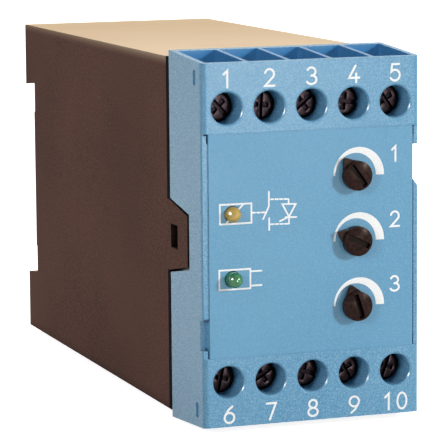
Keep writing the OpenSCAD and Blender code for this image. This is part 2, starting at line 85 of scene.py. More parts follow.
def linear(r, g, b):
    """A colour as seen on a screen, 0 to 255, as the linear values that shaders take."""
    def channel(v):
        v = v / 255
        return v / 12.92 if v <= 0.04045 else ((v + 0.055) / 1.055) ** 2.4
    return (channel(r), channel(g), channel(b), 1.0)


def add_object(name, data):
    """A new object, linked to the scene."""
    made = bpy.data.objects.new(name, data)
    bpy.context.scene.collection.objects.link(made)
    return made


def mesh_from(bm, name):
    """A mesh with what the bmesh holds, which is then freed."""
    mesh = bpy.data.meshes.new(name)
    bm.to_mesh(mesh)
    bm.free()
    return mesh


def skin(bm, rings):
    """Faces from each closed ring of vertices to the next, and one over each end."""
    for a, b in zip(rings, rings[1:]):
        for k in range(len(a)):
            m = (k + 1) % len(a)
            bm.faces.new((a[k], b[k], b[m], a[m]))
    bm.faces.new(rings[0])
    bm.faces.new(list(reversed(rings[-1])))
    bmesh.ops.recalc_face_normals(bm, faces=bm.faces)


# Materials: lengths here are in metres

# Sockets of a Mix node for colours
MIX_A = 6
MIX_B = 7
MIX_RESULT = 2

# Most values of a noise texture lie between these
NOISE_LOW = 0.3
NOISE_HIGH = 0.7

# Upward part of a normal from which a face starts to look up, and from which it fully does
UPWARD_FROM = 0.8
UPWARD_FULL = 0.97

# The top's painted reflection where it spills over the edge: its reach, its strength at the top and its
# curve
TOP_REFLECTION_REACH = 0.0022
TOP_REFLECTION_SHARE = 0.45
TOP_REFLECTION_POWER = 2.0

# Openness at which a gap gets the full painted shade, and at which a surface gets none
GAP_CLOSED = 0.45
GAP_OPEN = 0.8
GAP_SAMPLES = 8

# Near-black painted shade for gaps, the joint and the snap recess
PAINTED_SHADE = (0.004, 0.003, 0.004, 1)
# A darker blue, painted as shade at the seams
SEAM_SHADE_COLOUR = linear(38, 74, 112)


class Surface:
    """A Principled material with helpers that wire procedural detail into it."""

    def __init__(self, name, metallic=0.0, ior=1.45):
        self.material = bpy.data.materials.new(name)
        self.material.use_nodes = True
        self.nodes = self.material.node_tree.nodes
        self.links = self.material.node_tree.links
        self.shader = self.nodes["Principled BSDF"]
        self.set("Metallic", metallic)
        self.set("IOR", ior)
        place = self.nodes.new("ShaderNodeTexCoord")
        self.coords = place.outputs["Object"]
        self.facing = place.outputs["Normal"]

    def set(self, socket, value):
        """Sets what is the same all over the surface."""
        self.shader.inputs[socket].default_value = value
        return self

    def feed(self, socket, value):
        """Links another node's output to a socket, or sets a plain value on it."""
        if isinstance(value, bpy.types.NodeSocket):
            self.links.new(value, socket)
        else:
            socket.default_value = value

    def stretched(self, scale):
        """Coordinates times a scale for each axis: a low one draws the pattern out along its axis."""
        mapping = self.nodes.new("ShaderNodeMapping")
        mapping.inputs["Scale"].default_value = scale
        self.links.new(self.coords, mapping.inputs["Vector"])
        return mapping.outputs["Vector"]

    def noise(self, size, detail=2.0, rough=0.55, stretch=None):
        """Noise whose cells are about size metres across."""
        texture = self.nodes.new("ShaderNodeTexNoise")
        texture.inputs["Scale"].default_value = 1 / size
        texture.inputs["Detail"].default_value = detail
        texture.inputs["Roughness"].default_value = rough
        self.links.new(self.stretched(stretch) if stretch else self.coords, texture.inputs["Vector"])
        return texture.outputs["Fac"]

    def ramp(self, fac, low, high, start=BLACK, end=WHITE):
        """A colour that is start up to low, end from high on, and between them in between."""
        ramp = self.nodes.new("ShaderNodeValToRGB")
        first, last = ramp.color_ramp.elements
        first.position = low
        first.color = start
        last.position = high
        last.color = end
        self.links.new(fac, ramp.inputs["Fac"])
        return ramp.outputs["Color"]

    def blend(self, fac, a, b):
        """Colour a where fac is zero and colour b where it is one."""
        mix = self.nodes.new("ShaderNodeMix")
        mix.data_type = "RGBA"
        self.feed(mix.inputs["Factor"], fac)
        self.feed(mix.inputs[MIX_A], a)
        self.feed(mix.inputs[MIX_B], b)
        return mix.outputs[MIX_RESULT]

    def math(self, operation, *values):
        """The result of a Math node, kept between zero and one."""
        node = self.nodes.new("ShaderNodeMath")
        node.operation = operation
        node.use_clamp = True
        for socket, value in zip(node.inputs, values):
            self.feed(socket, value)
        return node.outputs["Value"]

    def part(self, vector, axis):
        """One part of a vector."""
        parts = self.nodes.new("ShaderNodeSeparateXYZ")
        self.links.new(vector, parts.inputs["Vector"])
        return parts.outputs[axis]

    def coord(self, axis):
        """One coordinate in the part's frame."""
        return self.part(self.coords, axis)

    def band(self, value, low, high):
        """One where a value lies between low and high."""
        return self.math("COMPARE", value, (low + high) / 2, (high - low) / 2)

    def inside(self, x_half, y_start):
        """One within x_half of the middle and behind y_start."""
        between = self.math("COMPARE", self.coord("X"), 0.0, x_half)
        behind = self.math("GREATER_THAN", self.coord("Y"), y_start)
        return self.math("MULTIPLY", between, behind)

    def top_side(self, height, top):
        """Where the top's painted reflection goes: one on faces that look up and lie above height. On other
        faces it rises towards the top.
        """
        above = self.math("GREATER_THAN", self.coord("Z"), height)
        upward = self.ramp(self.part(self.facing, "Z"), UPWARD_FROM, UPWARD_FULL)
        rise = self.math("MULTIPLY_ADD", self.coord("Z"), 1 / TOP_REFLECTION_REACH, 1 - top / TOP_REFLECTION_REACH)
        edge = self.math("MULTIPLY", self.math("POWER", rise, TOP_REFLECTION_POWER), TOP_REFLECTION_SHARE)
        return self.math("MAXIMUM", self.math("MULTIPLY", above, upward), edge)

    def towards_back(self):
        """From zero at the front of the part to one at its back."""
        front, back = cad_box[0][1], cad_box[1][1]
        per_metre = 1 / (back - front)
        return self.math("MULTIPLY_ADD", self.coord("Y"), per_metre, -front * per_metre)

    def joint_line(self, y_end, z_half):
        """Where the joint's painted shadow goes: one in front of y_end, except on the tongue, which reaches
        z_half up and down.
        """
        in_front = self.math("LESS_THAN", self.coord("Y"), y_end)
        on_tongue = self.math("COMPARE", self.coord("Z"), 0.0, z_half)
        return self.math("SUBTRACT", in_front, on_tongue)

    def snap_recess(self, x_half, y_start, z_half):
        """Where the snap recess's painted shade goes: one inside, within z_half of the middle height."""
        near = self.math("COMPARE", self.coord("Z"), 0.0, z_half)
        return self.math("MULTIPLY", self.inside(x_half, y_start), near)

    def wire_pockets(self, x_half, y_start, z_low, z_high):
        """Where the wire pockets' painted shade goes: one inside, between two heights above or below the
        middle.
        """
        height = self.math("ABSOLUTE", self.coord("Z"))
        return self.math("MULTIPLY", self.inside(x_half, y_start), self.band(height, z_low, z_high))

    def seam(self, x_low, x_high, z_low, z_high):
        """Where a band of painted shade goes: one in a narrow upright or level band."""
        across = self.band(self.coord("X"), x_low, x_high)
        upright = self.band(self.coord("Z"), z_low, z_high)
        return self.math("MULTIPLY", across, upright)

    def crevices(self, reach):
        """Painted shade from ambient occlusion: zero deep in gaps narrower than about reach, one on open
        surfaces.
        """
        shade = self.nodes.new("ShaderNodeAmbientOcclusion")
        shade.samples = GAP_SAMPLES
        shade.inputs["Distance"].default_value = reach
        return self.ramp(shade.outputs["AO"], GAP_CLOSED, GAP_OPEN)

    def colour(self, socket):
        self.links.new(socket, self.shader.inputs["Base Color"])
        return self

    def rough(self, fac, low, high):
        """Roughness that follows a noise, from low to high."""
        span = self.nodes.new("ShaderNodeMapRange")
        span.inputs["From Min"].default_value = NOISE_LOW
        span.inputs["From Max"].default_value = NOISE_HIGH
        span.inputs["To Min"].default_value = low
        span.inputs["To Max"].default_value = high
        self.links.new(fac, span.inputs["Value"])
        self.links.new(span.outputs["Result"], self.shader.inputs["Roughness"])
        return self

    def bump(self, fac, depth):
        bump = self.nodes.new("ShaderNodeBump")
        bump.inputs["Distance"].default_value = depth
        self.links.new(fac, bump.inputs["Height"])
        self.links.new(bump.outputs["Normal"], self.shader.inputs["Normal"])
        return self


# Moulded plastic: roughness of the noise that is its grain, noise at which the lighter specks start and
# are full, how much the drifts of tone move the painted reflection on the top, and where its change starts
# and ends
GRAIN_ROUGH = 0.65
SPECK_FROM = 0.42
SPECK_FULL = 0.72
REFLECTION_DRIFT = 0.3
REFLECTION_FROM = 0.15
REFLECTION_FULL = 1.0


def moulded(name, dark, mid, light, rough, grain=0.0005, depth=0.00003, ior=1.45, gap=0.0, reflected_top=None,
            joint=None, recess=None, pockets=None, seam_shades=(), tint=WHITE, drift_size=0.018):
    """Moulded plastic: slow drifts of tone, a fine eroded grain, uneven gloss and painted shade in narrow
    gaps.
    For the top: the height above which faces that look up get a painted tan reflection, the top's height,
    and the painted reflection's colours at the front and the back.
    The joint and the recess give the places of a painted shadow along the joint and of painted shade in the
    snap recess.
    The pockets give the place of the wire pockets and of their painted shade, a deeper blue. The seams are
    the places of bands of painted shade."""
    s = Surface(name, ior=ior).set("Specular Tint", tint)
    drift = s.noise(drift_size)
    speck = s.noise(grain, rough=GRAIN_ROUGH)
    base = s.ramp(drift, NOISE_LOW, NOISE_HIGH, dark, mid)
    shade = s.blend(s.ramp(speck, SPECK_FROM, SPECK_FULL), base, light)
    # Painted tan reflection on the top, its colour changing from front to back
    if reflected_top:
        height, top, front, back = reflected_top
        reflection_spread = s.math("ADD", s.towards_back(), s.math("MULTIPLY", drift, REFLECTION_DRIFT))
        reflected_tan = s.ramp(reflection_spread, REFLECTION_FROM, REFLECTION_FULL, front, back)
        shade = s.blend(s.top_side(height, top), shade, reflected_tan)
    # Painted shade in narrow gaps
    if gap:
        shade = s.blend(s.crevices(gap), PAINTED_SHADE, shade)
    # Painted shade in the wire pockets, a deeper blue
    if pockets:
        place, deep = pockets
        shade = s.blend(s.wire_pockets(*place), shade, deep)
    # Bands of painted shade at the seams
    for place in seam_shades:
        shade = s.blend(s.seam(*place), shade, SEAM_SHADE_COLOUR)
    # Painted shadow along the joint
    if joint:
        shade = s.blend(s.joint_line(*joint), shade, PAINTED_SHADE)
    # Painted shade in the snap recess
    if recess:
        shade = s.blend(s.snap_recess(*recess), shade, PAINTED_SHADE)
    s.colour(shade)
    return s.rough(speck, *rough).bump(speck, depth).material


STREAK_SIZE = 0.0006
STREAK_DETAIL = 3.0
STREAK_DEPTH = 0.000006
TARNISH_SIZE = 0.0025


def plated(name, dark, light, rough, grain=None, gap=0.0):
    """Metal: streaks of polish, drawn out by grain, slight tarnish and painted shade in narrow gaps."""
    s = Surface(name, metallic=1.0)
    streak = s.noise(STREAK_SIZE, STREAK_DETAIL, stretch=grain)
    tarnish = s.noise(TARNISH_SIZE)
    shade = s.blend(tarnish, s.ramp(streak, NOISE_LOW, NOISE_HIGH, dark, light), dark)
    # Painted shade in narrow gaps
    if gap:
        shade = s.blend(s.crevices(gap), PAINTED_SHADE, shade)
    s.colour(shade)
    return s.rough(streak, *rough).bump(streak, STREAK_DEPTH).material


RESIN_IOR = 1.5
RESIN_ROUGH = (0.06, 0.12)
CLOUD_SIZE = 0.0011
RIPPLE_SIZE = 0.0006
RIPPLE_DETAIL = 3.0
RIPPLE_DEPTH = 0.000003


def lens(name, deep, bright):
    """Tinted resin with cloudy depth under a clear skin."""
    s = Surface(name, ior=RESIN_IOR)
    cloud = s.noise(CLOUD_SIZE)
    s.colour(s.ramp(cloud, NOISE_LOW, NOISE_HIGH, deep, bright))
    s.set("Subsurface Weight", 0.35)
    s.set("Subsurface Radius", (0.6, 0.6, 0.3))
    s.set("Subsurface Scale", 0.001)
    s.set("Coat Weight", 0.35)
    s.set("Coat Roughness", 0.03)
    return s.rough(cloud, *RESIN_ROUGH).bump(s.noise(RIPPLE_SIZE, RIPPLE_DETAIL), RIPPLE_DEPTH).material


WEAVE_SIZE = 0.0007
WEAVE_DETAIL = 1.0
WEAVE_DRAWN = 0.15
WEFT_SHARE = 0.5
WEAVE_FROM = 0.35
WEAVE_FULL = 0.65
WEAVE_DEPTH = 0.00001
LACQUER_ROUGH = (0.25, 0.4)


def solder_resist(name, dark, light):
    """Circuit board with a faint weave under the lacquer."""
    s = Surface(name, ior=RESIN_IOR)
    warp = s.noise(WEAVE_SIZE, WEAVE_DETAIL, stretch=(1, 1, WEAVE_DRAWN))
    weft = s.noise(WEAVE_SIZE, WEAVE_DETAIL, stretch=(WEAVE_DRAWN, 1, 1))
    weave = s.blend(WEFT_SHARE, warp, weft)
    s.colour(s.ramp(weave, WEAVE_FROM, WEAVE_FULL, dark, light))
    return s.rough(weave, *LACQUER_ROUGH).bump(weave, WEAVE_DEPTH).material


# Painted shadow in the joint behind the blue front: depth of the blue front, how far the dark band runs
# back, half the tongue's height
FRONT_DEPTH = 0.019
JOINT_WIDTH = 0.0018
TONGUE_HALF = 0.00705
case_joint_shadow = (row_face + FRONT_DEPTH + JOINT_WIDTH, TONGUE_HALF)

# Painted shade in the snap recess: what belongs to the side's own face, its start behind the front, its room
# round the tongue
SIDE_SKIN = 0.0001
RECESS_START = 0.0075
RECESS_ROOM = 0.0006
shell_recess_shade = (shell_high.x - SIDE_SKIN, row_face + RECESS_START, TONGUE_HALF + RECESS_ROOM)

# Painted shade in the wire pockets: the wall round them, and their heights from the middle
POCKET_WALL = 0.001
POCKET_LOW = 0.0303
POCKET_HIGH = 0.0363
shell_pocket_shade = (shell_high.x - POCKET_WALL, row_face + POCKET_WALL, POCKET_LOW, POCKET_HIGH)

# Bands of painted shade at the seams: one right of the plate, and one over the left notch that stops short
# of the side
SEAM_WIDTH = 0.00034
SEAM_INSET = 0.0002
NOTCH_TOP = -0.0143
shell_seam_shades = [
    (plate_high.x, plate_high.x + SEAM_WIDTH, plate_low.z, plate_high.z),
    (shell_low.x + SEAM_INSET, plate_low.x, NOTCH_TOP, NOTCH_TOP + SEAM_WIDTH),
]

# Painted tan reflection on the top: only what lies above this height
REFLECTED_TOP_FROM = 0.03
case_reflected_top = (REFLECTED_TOP_FROM, case_top, linear(243, 220, 190), linear(214, 188, 155))

# The case gets painted shade within 6 mm of its gaps, round the tongue and in its slot
case_paint = moulded("dark_moulding", linear(78, 57, 50), linear(100, 69, 62), linear(122, 92, 83),
                     rough=(0.6, 0.74), grain=0.00028, depth=0.000025, ior=1.06, gap=0.006,
                     reflected_top=case_reflected_top, joint=case_joint_shadow, drift_size=0.034)
shell_paint = moulded("blue_moulding", linear(86, 147, 185), linear(93, 152, 188), linear(140, 184, 209),
                      rough=(0.2, 0.32), grain=0.00024, ior=1.24, recess=shell_recess_shade,
                      pockets=(shell_pocket_shade, linear(72, 138, 190)), seam_shades=shell_seam_shades)
plate_paint = moulded("blue_plate_moulding", linear(88, 150, 186), linear(95, 155, 190),
                      linear(112, 166, 198), rough=(0.34, 0.48), grain=0.00022, ior=1.3)
latch_paint = moulded("black_moulding", linear(38, 34, 33), linear(48, 43, 41), linear(66, 60, 57),
                      rough=(0.4, 0.55))
# The knob gets painted shade in its slot and where it meets the plate
knob_paint = moulded("knob_moulding", linear(32, 21, 22), linear(40, 27, 27), linear(60, 43, 38),
                     rough=(0.24, 0.34), grain=0.0007, depth=0.00001, ior=1.14, gap=0.002,
                     tint=(1.0, 0.76, 0.6, 1))
white_print = moulded("white_print", linear(226, 230, 230), linear(240, 243, 242), linear(250, 251, 250),
                      rough=(0.5, 0.65), grain=0.0003, depth=0.000008)
resin_paint = moulded("black_resin", linear(30, 30, 31), linear(38, 38, 39), linear(60, 60, 60),
                      rough=(0.5, 0.65))
relay_paint = moulded("relay_moulding", linear(40, 44, 56), linear(50, 54, 66), linear(74, 78, 88),
                      rough=(0.35, 0.5))
sleeve_paint = moulded("shrink_sleeve", linear(34, 40, 66), linear(44, 52, 80), linear(70, 78, 104),
                       rough=(0.18, 0.3))
trimmer_paint = moulded("trimmer_moulding", linear(36, 84, 150), linear(46, 96, 164), linear(80, 124, 184),
                        rough=(0.35, 0.5))
rotor_paint = moulded("rotor_moulding", linear(206, 205, 198), linear(222, 221, 214), linear(236, 235, 230),
                      rough=(0.4, 0.55))
# The screw steel is darkened as painted shade for the holes it sits deep in
screw_metal = plated("darkened_screw_steel", linear(32, 25, 27), linear(48, 40, 42), rough=(0.3, 0.42),
                     gap=0.0012)
cage_metal = plated("zinc_plated_steel", linear(150, 150, 146), linear(190, 189, 184), rough=(0.28, 0.45))
bar_metal = plated("tinned_brass", linear(168, 150, 104), linear(205, 188, 140), rough=(0.25, 0.4))
wire_metal = plated("spring_wire", linear(150, 150, 150), linear(196, 196, 196), rough=(0.2, 0.35))
sink_metal = plated("extruded_aluminium", linear(172, 175, 178), linear(205, 207, 209), rough=(0.3, 0.45),
                    grain=(1, 0.04, 1))
core_metal = plated("varnished_core", linear(74, 56, 40), linear(112, 90, 66), rough=(0.35, 0.5),
                    grain=(1, 0.05, 1))
yellow_lens = lens("yellow_resin", linear(158, 128, 30), linear(206, 172, 66))
green_lens = lens("green_resin", linear(24, 104, 54), linear(52, 146, 84))
board_paint = solder_resist("solder_resist", linear(18, 78, 40), linear(36, 104, 56))

node_looks = {
    "rear_case": case_paint, "front_shell": shell_paint, "front_plate": plate_paint,
    "din_latch": latch_paint, "latch_spring": wire_metal, "led_yellow": yellow_lens,
    "led_green": green_lens, "control_board": board_paint, "power_board": board_paint,
    "microcontroller": resin_paint, "board_header": resin_paint, "heat_sink": sink_metal,
    "thyristor_1": resin_paint, "thyristor_2": resin_paint, "thyristor_screws": cage_metal,
    "bypass_relay_1": relay_paint, "bypass_relay_2": relay_paint, "transformer": core_metal,
    "capacitors": sleeve_paint,
}
for n in TERMINALS:
    node_looks[f"terminal_screw_{n}"] = screw_metal
    node_looks[f"clamp_cage_{n}"] = cage_metal
    node_looks[f"contact_bar_{n}"] = bar_metal
for n in KNOBS:
    node_looks[f"knob_{n}"] = knob_paint
    node_looks[f"trimmer_body_{n}"] = trimmer_paint
    node_looks[f"trimmer_rotor_{n}"] = rotor_paint
for name, look in node_looks.items():
    nodes[name].data.materials.clear()
    nodes[name].data.materials.append(look)


# Edges: small radii that catch the light, in millimetres, with angles in degrees

FLAT_ANGLE = 0.5
EDGE_ANGLE = 30
EDGE_SEGMENTS = 2
edge_radii = {"rear_case": 0.25, "front_shell": 0.1, "din_latch": 0.2}
edge_radii.update({f"knob_{n}": 0.12 for n in KNOBS})
edge_radii.update({f"clamp_cage_{n}": 0.1 for n in TERMINALS})


def soften(name, radius):
    """Joins the faces of a node that lie in one plane, then rounds its edges."""
    flat = nodes[name].modifiers.new("flat", "DECIMATE")
    flat.decimate_type = "DISSOLVE"
    flat.angle_limit = math.radians(FLAT_ANGLE)
    edge = nodes[name].modifiers.new("edge", "BEVEL")
    edge.width = radius * MM
    edge.segments = EDGE_SEGMENTS
    edge.limit_method = "ANGLE"
    edge.angle_limit = math.radians(EDGE_ANGLE)
    edge.harden_normals = True
    edge.miter_outer = "MITER_ARC"


for name, radius in edge_radii.items():
    soften(name, radius)


# Print on the front: points are millimetres across and up from the part's origin

PRINT_T = 0.03
LIFT_STEP = 0.0004
LIFT_LEVELS = 25
MITRE_LEAST = 0.35
END_STEPS = 6


def arc(cx, cz, rx, rz, start, end, steps=14):
    """Points on an arc, angles in degrees from the right, anticlockwise."""
    turn = [math.radians(start + (end - start) * k / steps) for k in range(steps + 1)]
    return [(cx + rx * math.cos(t), cz + rz * math.sin(t)) for t in turn]


def vertex(bm, point, lift=PRINT_T):
    """A vertex at a point of the print, lift millimetres in front of the surface that carries it."""
    return bm.verts.new((point.x * MM, -lift * MM, point.y * MM))


def ribbon(bm, points, width, closed=False):
    """A flat line of even width with mitred corners and round ends.
    Its lift depends on the faces drawn before it, so that lines that cross don't share a surface."""
    lift = PRINT_T + LIFT_STEP * (len(bm.faces) % LIFT_LEVELS)
    pts = [Vector(p) for p in points]
    count = len(pts)
    half = width / 2

    def side(a, b):
        d = (b - a).normalized()
        return Vector((-d.y, d.x))

    rims = []
    for k in range(count):
        before = side(pts[k - 1], pts[k]) if closed or k > 0 else None
        after = side(pts[k], pts[(k + 1) % count]) if closed or k < count - 1 else None
        if before is None or after is None:
            rims.append((after or before) * half)
        else:
            mitre = (before + after).normalized()
            rims.append(mitre * half / max(mitre.dot(after), MITRE_LEAST))
    left = [vertex(bm, p + r, lift) for p, r in zip(pts, rims)]
    right = [vertex(bm, p - r, lift) for p, r in zip(pts, rims)]
    for k in range(count if closed else count - 1):
        m = (k + 1) % count
        bm.faces.new((left[k], right[k], right[m], left[m]))
    if not closed:
        for k, outward in ((0, pts[0] - pts[1]), (count - 1, pts[-1] - pts[-2])):
            start = math.atan2(outward.y, outward.x) - math.pi / 2
            turns = [start + math.pi * s / END_STEPS for s in range(1, END_STEPS)]
            rim = [vertex(bm, pts[k] + Vector((math.cos(t), math.sin(t))) * half, lift) for t in turns]
            ends = (right[k], left[k]) if k == count - 1 else (left[k], right[k])
            bm.faces.new([ends[0]] + rim + [ends[1]])


def printed(name, draw, surface_y):
    """A piece of print on the surface at surface_y: draw(bm) adds its faces, a modifier their thickness."""
    bm = bmesh.new()
    draw(bm)
    for face in bm.faces:
        face.normal_update()
        if face.normal.y > 0:
            face.normal_flip()
    mesh = mesh_from(bm, name)
    mesh.materials.append(white_print)
    piece = add_object(name, mesh)
    piece.location.y = surface_y
    ink = piece.modifiers.new("ink", "SOLIDIFY")
    ink.thickness = PRINT_T * MM
    ink.offset = -1.0
    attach(piece, "housing")


# Lines of each digit, as shares of its height
DIGITS = {
    "0": [arc(0.3, 0.5, 0.3, 0.5, 90, 450, 28)],
    "1": [[(0.1, 0.78), (0.34, 1.0), (0.34, 0.0)]],
    "2": [arc(0.3, 0.7, 0.29, 0.3, 165, -35) + [(0.02, 0.0), (0.62, 0.0)]],
    "3": [arc(0.27, 0.75, 0.27, 0.25, 155, -90), arc(0.28, 0.26, 0.32, 0.26, 90, -155)],
    "4": [[(0.66, 0.27), (0.0, 0.27), (0.42, 1.0)], [(0.46, 0.52), (0.46, 0.0)]],
    "5": [[(0.56, 1.0), (0.1, 1.0), (0.05, 0.55)] + arc(0.28, 0.33, 0.32, 0.33, 115, -150)],
    "6": [[(0.5, 1.0), (0.25, 0.8), (0.07, 0.52)], arc(0.31, 0.31, 0.31, 0.31, 180, 540, 26)],
    "7": [[(0.0, 1.0), (0.6, 1.0), (0.2, 0.0)]],
    "8": [arc(0.3, 0.75, 0.25, 0.25, -90, 270, 22), arc(0.3, 0.25, 0.31, 0.25, 90, 450, 24)],
    "9": [[(0.11, 0.0), (0.36, 0.2), (0.54, 0.48)], arc(0.3, 0.69, 0.31, 0.31, 0, 360, 26)],
}
DIGIT_WIDTH = 0.6
DIGIT_STEP = 0.92
SAME_POINT = 1e-6


def number(bm, text, x, z, height, stroke):
    """A number whose middle is at x and whose foot is at z."""
    start = x - height * ((len(text) - 1) * DIGIT_STEP + DIGIT_WIDTH) / 2
    for k, digit in enumerate(text):
        for line in DIGITS[digit]:
            placed = [(start + (k * DIGIT_STEP + px) * height, z + pz * height) for px, pz in line]
            ring = (Vector(line[0]) - Vector(line[-1])).length < SAME_POINT
            ribbon(bm, placed[:-1] if ring else placed, stroke, closed=ring)


UPPER_FOOT = 30.55
LOWER_FOOT = -34.45
TERMINAL_DIGIT = 3.2
TERMINAL_STROKE = 0.42


def terminal_numbers(bm):
    for n in TERMINALS:
        low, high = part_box(f"terminal_screw_{n}")
        x = (low.x + high.x) / 2 / MM
        foot = UPPER_FOOT if n <= TERMINALS_IN_ROW else LOWER_FOOT
        number(bm, str(n), x, foot, TERMINAL_DIGIT, TERMINAL_STROKE)


# Bands over the knobs, thinner on the left: middle and radii of each rim, and the angles they span
SCALE_OUTER = {"cx": 9.8, "rx": 5.3, "rz": 5.43}
SCALE_INNER = {"cx": 9.1, "rx": 4.24, "rz": 4.3}
SCALE_SPAN = {"start": -1.8, "end": 180, "steps": 48}
SCALE_DIGIT_X = 17.4
SCALE_DIGIT_UP = 2.3
SCALE_DIGIT = 2.9
SCALE_STROKE = 0.4


def knob_scales(bm):
    for n in KNOBS:
        z = joints[f"knob_{n}_turn"]["pos_m"][2] / MM
        outer = arc(cz=z, **SCALE_OUTER, **SCALE_SPAN)
        inner = arc(cz=z, **SCALE_INNER, **SCALE_SPAN)
        rims = [(vertex(bm, Vector(a)), vertex(bm, Vector(b))) for a, b in zip(outer, inner)]
        for (a, b), (c, d) in zip(rims, rims[1:]):
            bm.faces.new((a, b, d, c))
        number(bm, str(n), SCALE_DIGIT_X, z + SCALE_DIGIT_UP, SCALE_DIGIT, SCALE_STROKE)


# Frames round the lamps: left, right, foot and top of each, the upper one's diagonal, the lower one's leads
LAMP_FRAMES = ((-18.93, -12.5, 4.32, 8.09), (-19.15, -12.8, -8.4, -4.6))
FRAME_STROKE = 0.34
LAMP_DIAGONAL = ((-17.69, 4.4), (-14.14, 8.0))
DIAGONAL_STROKE = 0.3
LEAD_START = -12.7
LEAD_END = -10.5
LEAD_HEIGHTS = (-5.1, -7.9)


def lamp_frames(bm):
    for x0, x1, z0, z1 in LAMP_FRAMES:
        ribbon(bm, [(x0, z0), (x1, z0), (x1, z1), (x0, z1)], FRAME_STROKE, closed=True)
    ribbon(bm, LAMP_DIAGONAL, DIAGONAL_STROKE)
    for z in LEAD_HEIGHTS:
        ribbon(bm, [(LEAD_START, z), (LEAD_END, z)], FRAME_STROKE)


# Each dash covers this share of its step
DASH_FROM = 0.1
DASH_TO = 0.7
SYMBOL_STROKE = 0.32


def dashes(bm, start, end, count):
    a, b = Vector(start), Vector(end)
    for k in range(count):
        ribbon(bm, [a.lerp(b, (k + DASH_FROM) / count), a.lerp(b, (k + DASH_TO) / count)], SYMBOL_STROKE)


def circuit_symbol(bm):
    """A switch with its dashed links, and a thyristor beside it."""
    ribbon(bm, [(-8.89, 10.14), (-8.91, 7.31), (-10.11, 4.89)], SYMBOL_STROKE)
    ribbon(bm, [(-8.86, 5.0), (-8.87, 2.69)], SYMBOL_STROKE)
    dashes(bm, (-12.4, 6.25), (-9.5, 6.18), 3)
    dashes(bm, (-8.6, 8.66), (-4.88, 8.51), 4)
    dashes(bm, (-8.6, 3.8), (-4.78, 3.71), 4)
    ribbon(bm, [(-4.86, 8.5), (-4.82, 7.6)], SYMBOL_STROKE)
    ribbon(bm, [(-6.15, 7.58), (-3.38, 7.49), (-4.78, 5.07)], SYMBOL_STROKE, closed=True)
    ribbon(bm, [(-5.53, 5.0), (-3.26, 4.93)], SYMBOL_STROKE)
    ribbon(bm, [(-4.78, 4.95), (-4.78, 3.71)], SYMBOL_STROKE)
    ribbon(bm, [(-5.2, 4.9), (-6.67, 4.29)], SYMBOL_STROKE)


printed("terminal_numbers", terminal_numbers, row_face)
printed("knob_scales", knob_scales, plate_face)
printed("lamp_frames", lamp_frames, plate_face)
printed("circuit_symbol", circuit_symbol, plate_face)


# Terminal screws with a real thread and a combined slot and cross, in millimetres

AROUND = 48
HEAD_R = 2.95
HEAD_T = 2.0
HEAD_CROWN = [(0.9, 0.0), (2.35, 0.02), (2.7, 0.1), (2.89, 0.26), (HEAD_R, 0.45)]
HEAD_EDGE_R = 0.12
HEAD_EDGE_T = 0.2
NECK_STEP = 0.1
NECK_T = 0.05
CORE_R = 1.36
SHANK_R = 1.7
SHANK_LEN = 6.5
TIP_R = CORE_R * 0.55

# Thread: pitch, rows for each turn, half a crest's foot in turns, what flattens a crest, and the run-out
THREAD_PITCH = 0.6
THREAD_ROWS = 8
CREST_HALF = 0.42
CREST_CUT = 1.15
RUN_OUT_LEAST = 0.25
RUN_OUT_TURNS = 1.5

# Slot and cross: half their size along X and along Z, and their depth
SLOT_CUTS = ((3.4, 0.45, 0.9), (0.45, 1.7, 0.75))
CUT_RISE = 0.5
EASE_WIDTH = 0.05
EASE_SEGMENTS = 2
EASE_ANGLE = 50
FLAT_FACE_WEIGHT = 90

# Degrees from one screw to the next, so that no two stand alike
SCREW_TURN = 47


def screw_mesh():
    """The axis is Y, the front of the head is at 0 and the shank runs back."""
    profile = HEAD_CROWN + [(HEAD_R, HEAD_T - HEAD_EDGE_T), (HEAD_R - HEAD_EDGE_R, HEAD_T),
                            (CORE_R + NECK_STEP, HEAD_T)]
    outline = [[(r, y)] * AROUND for r, y in profile]
    rows = int((SHANK_LEN - HEAD_T) / THREAD_PITCH * THREAD_ROWS)
    for k in range(rows + 1):
        y = HEAD_T + NECK_T + (SHANK_LEN - HEAD_T - NECK_T) * k / rows
        run_out = min(1.0, RUN_OUT_LEAST + (rows - k) / (RUN_OUT_TURNS * THREAD_ROWS))
        row = []
        for s in range(AROUND):
            phase = (y / THREAD_PITCH - s / AROUND) % 1
            crest = max(0.0, 1 - abs(phase - 0.5) / CREST_HALF)
            row.append((CORE_R + (SHANK_R - CORE_R) * min(1.0, crest * CREST_CUT) * run_out, y))
        outline.append(row)
    outline.append([(TIP_R, SHANK_LEN)] * AROUND)
    bm = bmesh.new()
    rings = []
    for row in outline:
        ring = []
        for s, (r, y) in enumerate(row):
            t = 2 * math.pi * s / AROUND
            ring.append(bm.verts.new((r * math.cos(t) * MM, y * MM, r * math.sin(t) * MM)))
        rings.append(ring)
    skin(bm, rings)
    return mesh_from(bm, "terminal_screw")


def cutter_mesh():
    """The slot across the head and the short bar of the cross, both rising out of the head."""
    bm = bmesh.new()
    for half_x, half_z, depth in SLOT_CUTS:
        for v in bmesh.ops.create_cube(bm, size=1.0)["verts"]:
            y = (v.co.y + 0.5) * (depth + CUT_RISE) - CUT_RISE
            v.co = Vector((v.co.x * 2 * half_x, y, v.co.z * 2 * half_z)) * MM
    return mesh_from(bm, "slot_cutter")


